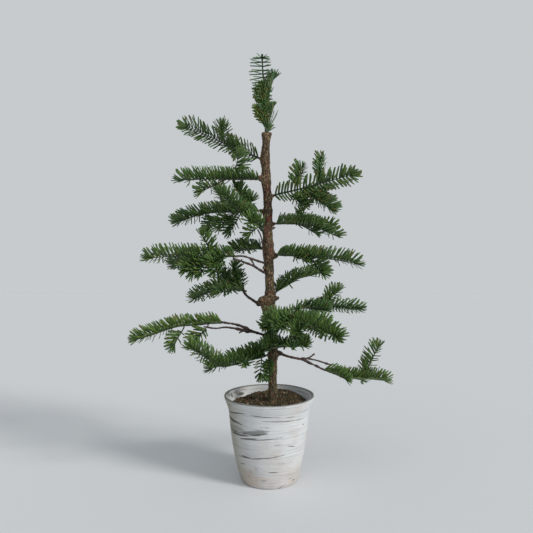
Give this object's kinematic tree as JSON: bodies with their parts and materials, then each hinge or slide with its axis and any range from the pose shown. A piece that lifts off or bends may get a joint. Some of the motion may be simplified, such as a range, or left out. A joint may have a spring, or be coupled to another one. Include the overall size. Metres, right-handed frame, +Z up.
{
  "type": "artificial tabletop tree",
  "caption": "Sparse artificial fir tree with bendable sprig branches on a bark-wrapped trunk, set in a flared whitewashed pot.",
  "frame": {"origin": "centre of the pot's foot, on the surface it stands on", "axes": "+Z up along the tree, +X to the tree's right seen from the front, +Y to its back"},
  "size_m": [0.3755, 0.205, 0.6086],
  "materials": {
    "pot_glaze": "whitewashed, brushed and worn",
    "cement": "cast, rough",
    "bark_crumbs": "loose ground bark",
    "steel": "drawn rod",
    "bark": "moulded flaky bark",
    "wrapped_wire": "paper-wrapped wire",
    "needles": "moulded fir needles, satin"
  },
  "bodies": {
    "stand": {"pot": "pot_glaze", "pot_weight": "cement", "soil_cover": "bark_crumbs", "trunk_core": "steel", "trunk_bark": "bark"},
    "branch_01": {"branch_01_stem": "wrapped_wire", "branch_01_needles": "needles"},
    "branch_02": {"branch_02_stem": "wrapped_wire", "branch_02_needles": "needles"},
    "branch_03": {"branch_03_stem": "wrapped_wire", "branch_03_needles": "needles"},
    "branch_04": {"branch_04_stem": "wrapped_wire", "branch_04_needles": "needles"},
    "branch_05": {"branch_05_stem": "wrapped_wire", "branch_05_needles": "needles"},
    "branch_06": {"branch_06_stem": "wrapped_wire", "branch_06_needles": "needles"},
    "branch_07": {"branch_07_stem": "wrapped_wire", "branch_07_needles": "needles"},
    "branch_08": {"branch_08_stem": "wrapped_wire", "branch_08_needles": "needles"},
    "branch_09": {"branch_09_stem": "wrapped_wire", "branch_09_needles": "needles"},
    "branch_10": {"branch_10_stem": "wrapped_wire", "branch_10_needles": "needles"},
    "branch_11": {"branch_11_stem": "wrapped_wire", "branch_11_needles": "needles"},
    "branch_12": {"branch_12_stem": "wrapped_wire", "branch_12_needles": "needles"},
    "branch_13": {"branch_13_stem": "wrapped_wire", "branch_13_needles": "needles"},
    "branch_14": {"branch_14_stem": "wrapped_wire", "branch_14_needles": "needles"},
    "branch_15": {"branch_15_stem": "wrapped_wire", "branch_15_needles": "needles"},
    "branch_16": {"branch_16_stem": "wrapped_wire", "branch_16_needles": "needles"},
    "branch_17": {"branch_17_stem": "wrapped_wire", "branch_17_needles": "needles"},
    "branch_18": {"branch_18_stem": "wrapped_wire", "branch_18_needles": "needles"},
    "leader": {"leader_stem": "wrapped_wire", "leader_needles": "needles"}
  },
  "joints": [
    {"name": "branch_01_bend", "type": "hinge", "parent": "stand", "child": "branch_01", "pos_m": [-0.01353, 0.00355, 0.46138], "axis": [0.3746, 0.9272, 0], "range_deg": [-15, 15]},
    {"name": "branch_02_bend", "type": "hinge", "parent": "stand", "child": "branch_02", "pos_m": [-0.01333, -0.00442, 0.43001], "axis": [-0.4226, 0.9063, 0], "range_deg": [-10, 15]},
    {"name": "branch_03_bend", "type": "hinge", "parent": "stand", "child": "branch_03", "pos_m": [0.00645, -0.00383, 0.40716], "axis": [-0.3746, -0.9272, 0], "range_deg": [-15, 15]},
    {"name": "branch_04_bend", "type": "hinge", "parent": "stand", "child": "branch_04", "pos_m": [-0.0128, 0.00109, 0.38612], "axis": [0.1045, 0.9945, 0], "range_deg": [-15, 8]},
    {"name": "branch_05_bend", "type": "hinge", "parent": "stand", "child": "branch_05", "pos_m": [0.00796, 0.00374, 0.3676], "axis": [0.3584, -0.9336, 0], "range_deg": [-15, 15]},
    {"name": "branch_06_bend", "type": "hinge", "parent": "stand", "child": "branch_06", "pos_m": [-0.00853, -0.00454, 0.35785], "axis": [-0.5299, 0.848, 0], "range_deg": [-15, 10]},
    {"name": "branch_07_bend", "type": "hinge", "parent": "stand", "child": "branch_07", "pos_m": [-0.00702, 0.00823, 0.33143], "axis": [0.788, 0.6157, 0], "range_deg": [-15, 15]},
    {"name": "branch_08_bend", "type": "hinge", "parent": "stand", "child": "branch_08", "pos_m": [0.00964, -0.00286, 0.32343], "axis": [-0.2756, -0.9613, 0], "range_deg": [-15, 15]},
    {"name": "branch_09_bend", "type": "hinge", "parent": "stand", "child": "branch_09", "pos_m": [-0.0081, -0.00265, 0.30434], "axis": [-0.2924, 0.9563, 0], "range_deg": [-15, 8]},
    {"name": "branch_10_bend", "type": "hinge", "parent": "stand", "child": "branch_10", "pos_m": [0.00897, 0.00557, 0.26815], "axis": [0.6157, -0.788, 0], "range_deg": [-15, 15]},
    {"name": "branch_11_bend", "type": "hinge", "parent": "stand", "child": "branch_11", "pos_m": [-0.00641, 0.00461, 0.25571], "axis": [0.4695, 0.8829, 0], "range_deg": [-15, 15]},
    {"name": "branch_12_bend", "type": "hinge", "parent": "stand", "child": "branch_12", "pos_m": [0.01267, 0.00321, 0.24091], "axis": [0.309, -0.9511, 0], "range_deg": [-15, 15]},
    {"name": "branch_13_bend", "type": "hinge", "parent": "stand", "child": "branch_13", "pos_m": [0.0089, -0.00881, 0.22667], "axis": [-0.848, -0.5299, 0], "range_deg": [-12, 15]},
    {"name": "branch_14_bend", "type": "hinge", "parent": "stand", "child": "branch_14", "pos_m": [-0.00508, -0.00166, 0.20788], "axis": [-0.1736, 0.9848, 0], "range_deg": [-15, 15]},
    {"name": "branch_15_bend", "type": "hinge", "parent": "stand", "child": "branch_15", "pos_m": [0.01256, -0.00698, 0.19281], "axis": [-0.6691, -0.7431, 0], "range_deg": [-15, 12]},
    {"name": "branch_16_bend", "type": "hinge", "parent": "stand", "child": "branch_16", "pos_m": [0.01519, 0.0014, 0.17919], "axis": [0.1392, -0.9903, 0], "range_deg": [-15, 15]},
    {"name": "branch_17_bend", "type": "hinge", "parent": "stand", "child": "branch_17", "pos_m": [-0.00264, -0.00665, 0.17946], "axis": [-0.6428, 0.766, 0], "range_deg": [-15, 15]},
    {"name": "branch_18_bend", "type": "hinge", "parent": "stand", "child": "branch_18", "pos_m": [0.00214, -0.00923, 0.17234], "axis": [-0.9397, 0.342, 0], "range_deg": [-15, 15]},
    {"name": "leader_bend", "type": "hinge", "parent": "stand", "child": "leader", "pos_m": [-0.0036, 0, 0.49745], "axis": [0, 1, 0], "range_deg": [-15, 15]}
  ]
}
